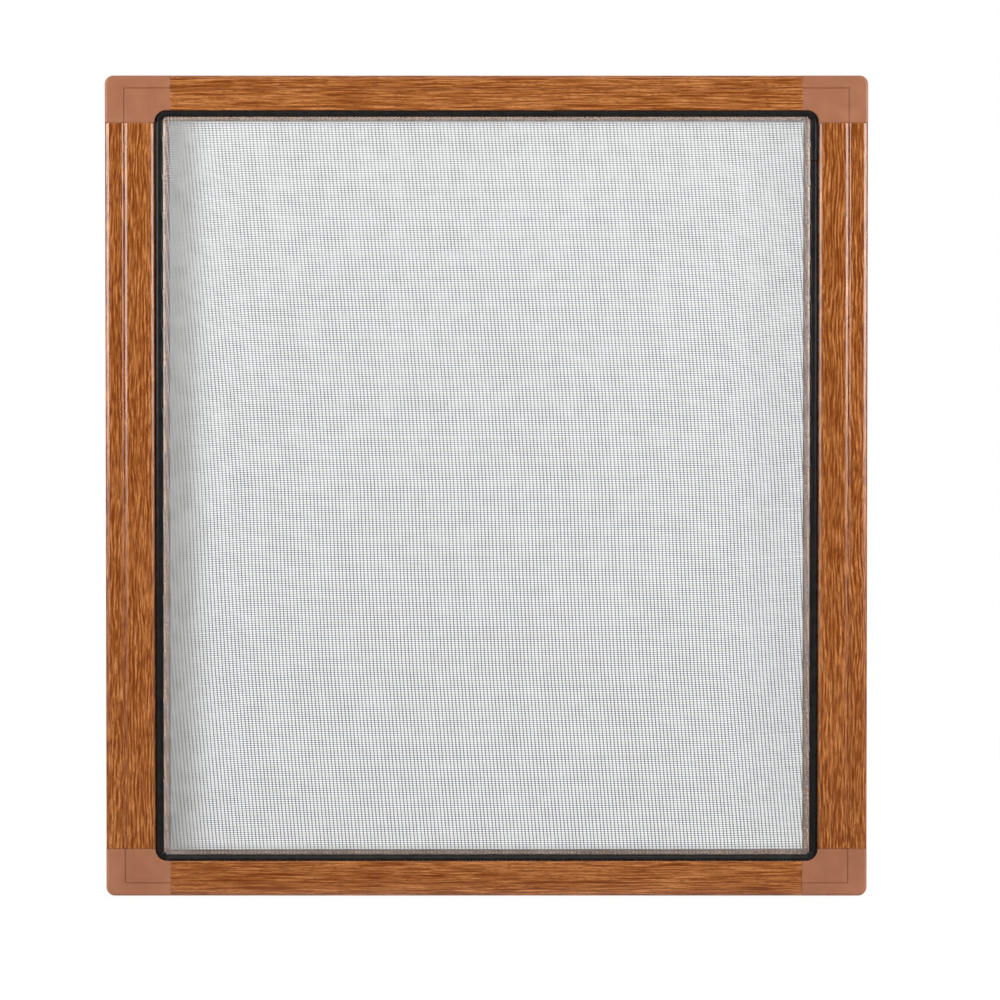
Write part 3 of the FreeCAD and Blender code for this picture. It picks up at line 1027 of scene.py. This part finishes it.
def make_floor():
    """Pale floor under the frame: white to the eye, with the frame's soft shadow on it.

    Near the frame a fifth of the white is light that really falls there, so the shadow shows.
    """
    near_glow = 0.78
    light_share = 1.15
    half_side = 1.7
    gap = 0.0002
    material, tree, output = new_material("pale_floor")
    place = add(tree, "ShaderNodeTexCoord").outputs["Object"]
    plan = add(tree, "ShaderNodeVectorMath", {0: place, 1: (1, 1, 0)}, operation="MULTIPLY").outputs["Vector"]
    away = add(tree, "ShaderNodeVectorMath", {0: plan}, operation="LENGTH").outputs["Value"]
    glow = add(
        tree,
        "ShaderNodeMapRange",
        {"Value": away, "From Min": 0.15, "From Max": 0.8, "To Min": near_glow, "To Max": 1.0},
        interpolation_type="SMOOTHSTEP",
    ).outputs["Result"]
    rest = add(
        tree, "ShaderNodeMath", {0: glow, 1: -light_share, 2: light_share}, operation="MULTIPLY_ADD"
    ).outputs["Value"]
    shaded = add(tree, "ShaderNodeBsdfDiffuse", {"Color": rest}).outputs["BSDF"]
    white = add(tree, "ShaderNodeEmission", {"Strength": glow}).outputs["Emission"]
    shown = add(tree, "ShaderNodeAddShader", {0: shaded, 1: white}).outputs["Shader"]
    matt = add(tree, "ShaderNodeBsdfDiffuse", {"Color": srgb("F4F4F4")}).outputs["BSDF"]
    mixed = add(tree, "ShaderNodeMixShader", {0: seen_directly(tree), 1: matt, 2: shown}).outputs["Shader"]
    tree.links.new(mixed, output.inputs["Surface"])
    x = half_side
    z = cad_low.z - gap
    stage_sheet("floor", [(-x, -x, z), (x, -x, z), (x, x, z), (-x, x, z)], material)


def make_backdrop():
    """White card close behind the frame, seen from the front only, glowing white with the frame's shade
    painted on it.

    Light on the frame's back passes through it. The painted shade is deep and warm beside the left stile,
    faint beside the right one and along the rails, and a little darker towards the bottom.
    """
    card_inset = 4
    card_gap = 0.4
    left_reach = 17.5 * MM
    right_reach = 30 * MM
    rail_reach = 2.5 * MM
    left_least = 0.41
    # The opening's half width and height as the camera casts them on the card behind it
    seen_behind = 1.0057
    edge_x = (field_x - STILE_LIP) * MM * seen_behind
    edge_z = (field_z - RAIL_LIP) * MM * seen_behind
    material, tree, output = new_material("white_card")
    place = add(tree, "ShaderNodeTexCoord").outputs["Object"]
    split = add(tree, "ShaderNodeSeparateXYZ", {"Vector": place}).outputs
    off_z = add(tree, "ShaderNodeMath", {0: split["Z"]}, operation="ABSOLUTE").outputs["Value"]
    # Painted shade: deep beside the left stile, faint beside the right one and along the rails, a little
    # darker towards the bottom
    painted_shades = []
    for value, near, far, least, blend in (
        (split["X"], -edge_x, left_reach - edge_x, left_least, "SMOOTHSTEP"),
        (split["X"], edge_x, edge_x - right_reach, 0.92, "SMOOTHSTEP"),
        (off_z, edge_z, edge_z - rail_reach, 0.82, "SMOOTHSTEP"),
        (split["Z"], cad_low.z, cad_high.z, 0.96, "LINEAR"),
    ):
        shade = add(
            tree,
            "ShaderNodeMapRange",
            {"Value": value, "From Min": near, "From Max": far, "To Min": least, "To Max": 1.0},
            interpolation_type=blend,
        )
        painted_shades.append(shade.outputs["Result"])
    level = painted_shades[0]
    for shade in painted_shades[1:]:
        level = add(tree, "ShaderNodeMath", {0: level, 1: shade}, operation="MULTIPLY").outputs["Value"]
    # Warm tint in the painted shade beside the left stile, a painted glow of light thrown back by the brown
    # bar
    warm_painted_shade = add(
        tree, "ShaderNodeValToRGB", {"Fac": painted_shades[0]}, steps=[(left_least, "FFFEF6"), (1.0, "FFFFFF")]
    ).outputs["Color"]
    glow_with_painted_shade = add(tree, "ShaderNodeEmission", {"Color": warm_painted_shade, "Strength": level}).outputs["Emission"]
    matt = add(tree, "ShaderNodeBsdfDiffuse", {"Color": srgb("F4F4F4")}).outputs["BSDF"]
    front_side = add(tree, "ShaderNodeMixShader", {0: seen_directly(tree), 1: matt, 2: glow_with_painted_shade}).outputs["Shader"]
    clear = add(tree, "ShaderNodeBsdfTransparent").outputs["BSDF"]
    behind = add(tree, "ShaderNodeNewGeometry").outputs["Backfacing"]
    mixed = add(tree, "ShaderNodeMixShader", {0: behind, 1: front_side, 2: clear}).outputs["Shader"]
    tree.links.new(mixed, output.inputs["Surface"])
    x = -(left + card_inset) * MM
    y = (back + card_gap) * MM
    z = (top - card_inset) * MM
    card = stage_sheet("backdrop", [(-x, y, -z), (x, y, -z), (x, y, z), (-x, y, z)], material)
    card.visible_diffuse = False
    card.visible_glossy = False
    card.visible_shadow = False


def make_flags():
    """Dark cards met by reflections alone, as a studio's dark room is: two upright, two on the floor."""
    far = 2.4
    near = 0.02
    wide = 6
    narrow = 2
    high = 1.6
    low = cad_low.z + 0.0005
    material, tree, output = new_material("dark_card")
    matt = add(tree, "ShaderNodeBsdfDiffuse", {"Color": srgb("202020")}).outputs["BSDF"]
    tree.links.new(matt, output.inputs["Surface"])
    for name, way in (("front", -1), ("back", 1)):
        y = way * far
        end = way * near
        upright = [(wide, y, low), (-wide, y, low), (-wide, y, high), (wide, y, high)]
        lying = [(-narrow, y, low), (narrow, y, low), (narrow, end, low), (-narrow, end, low)]
        for kind, corners in (("upright", upright), ("lying", lying)):
            flag = stage_sheet(f"flag_{name}_{kind}", corners, material)
            flag.visible_camera = False
            flag.visible_diffuse = False
            flag.visible_transmission = False
            flag.visible_shadow = False


def make_world(ambient):
    """White to the eye and in reflections; a plain soft light on everything else."""
    world = bpy.data.worlds.new("studio")
    bpy.context.scene.world = world
    world.use_nodes = True
    tree = world.node_tree
    tree.nodes.clear()
    output = add(tree, "ShaderNodeOutputWorld")
    colour = srgb("FFFFFF")
    white = add(tree, "ShaderNodeBackground", {"Color": colour, "Strength": 1.0}).outputs["Background"]
    soft = add(tree, "ShaderNodeBackground", {"Color": colour, "Strength": ambient}).outputs["Background"]
    mixed = add(tree, "ShaderNodeMixShader", {0: seen_directly(tree), 1: soft, 2: white})
    tree.links.new(mixed.outputs["Shader"], output.inputs["Surface"])


def make_lamp(name, place, target, size, power):
    """Rectangular soft lamp at a place, turned to its target; size and places in metres, power in watts."""
    lamp = bpy.data.lights.new(name, "AREA")
    lamp.shape = "RECTANGLE"
    lamp.size = size[0]
    lamp.size_y = size[1]
    lamp.energy = power
    held = bpy.data.objects.new(name, lamp)
    held.location = place
    held.rotation_euler = (Vector(target) - Vector(place)).to_track_quat("-Z", "Y").to_euler()
    held.visible_camera = False
    bpy.context.scene.collection.objects.link(held)


def make_camera():
    """Camera in front and a touch above, framing the screen where the photograph has it."""
    distance = 1.6
    tilt = math.radians(1.3)
    width_in_view = 0.7623
    sensor = 36.0
    camera = bpy.data.cameras.new("camera")
    camera.sensor_width = sensor
    width = cad_high.x - cad_low.x
    camera.lens = sensor * (distance + cad_low.y) / (width / width_in_view)
    camera.shift_x = 0.0135
    camera.shift_y = -0.0138
    held = bpy.data.objects.new("camera", camera)
    held.location = (0, -distance * math.cos(tilt), distance * math.sin(tilt))
    held.rotation_euler = (-Vector(held.location)).to_track_quat("-Z", "Y").to_euler()
    bpy.context.scene.collection.objects.link(held)
    bpy.context.scene.camera = held


make_camera()
film_up = wood_grain_film(
    "oak_film_on_aluminium_stiles",
    turn=(0, 0, 0),
    shift=(0, 0, 0),
    across="X",
    wall=wall_x,
    rim=wall_x - GROOVE - stile_lip,
    grain_size=(0.5, 8.0, 4.5),
    tones=(0.95, 0.602),
    year_lines=0.12,
)
film_across = wood_grain_film(
    "oak_film_on_aluminium_rails",
    turn=(0, math.radians(90), 0),
    shift=(37, 11, 53),
    across="Z",
    wall=wall_z - RAIL_NIB,
    rim=wall_z - GROOVE - rail_lip,
    grain_size=(0.42, 17.0, 2.0),
    tones=(1.05, 0.632),
    year_lines=0.05,
)
brown = moulded_brown_plastic()
rubber = extruded_black_rubber()
glass_thread = woven_glass_thread()

stile = stile_skin()
rail = rail_skin()
corner = corner_skin()
other_corner = mirror(corner)
make_piece("stile_left", stile, film_up, "left_stile")
make_piece("stile_right", half_turn(stile), film_up, "right_stile")
make_piece("rail_top", rail, film_across, "top_rail")
make_piece("rail_bottom", half_turn(rail), film_across, "bottom_rail")
make_piece("corner_top_left", corner, brown, "top_left_corner")
make_piece("corner_bottom_right", half_turn(corner), brown, "bottom_right_corner")
make_piece("corner_top_right", other_corner, brown, "top_right_corner")
make_piece("corner_bottom_left", half_turn(other_corner), brown, "bottom_left_corner")
make_piece("cord", cord_skin(), rubber, "spline")
cloth_made, cloth_map = cloth_skin()
cloth = make_piece("insect_mesh", cloth_made, glass_thread, "mesh", cloth_map)

make_floor()
make_backdrop()
make_flags()
make_world(0.38)
make_lamp("lamp_left", (-0.83, -0.40, 0.25), (-0.1, 0, 0.1), (0.26, 0.5), 5.1)
make_lamp("lamp_right", (0.90, -0.40, 0.25), (0.1, 0, 0.1), (0.26, 0.5), 5.9)
make_lamp("lamp_above", (0, -0.70, 0.78), (0, 0, 0), (0.9, 0.4), 2.2)
make_lamp("lamp_behind", (0.4, 1.4, 1.0), (0, 0, 0), (1.4, 1.0), 20)

scene = bpy.context.scene
scene.view_settings.view_transform = "Standard"
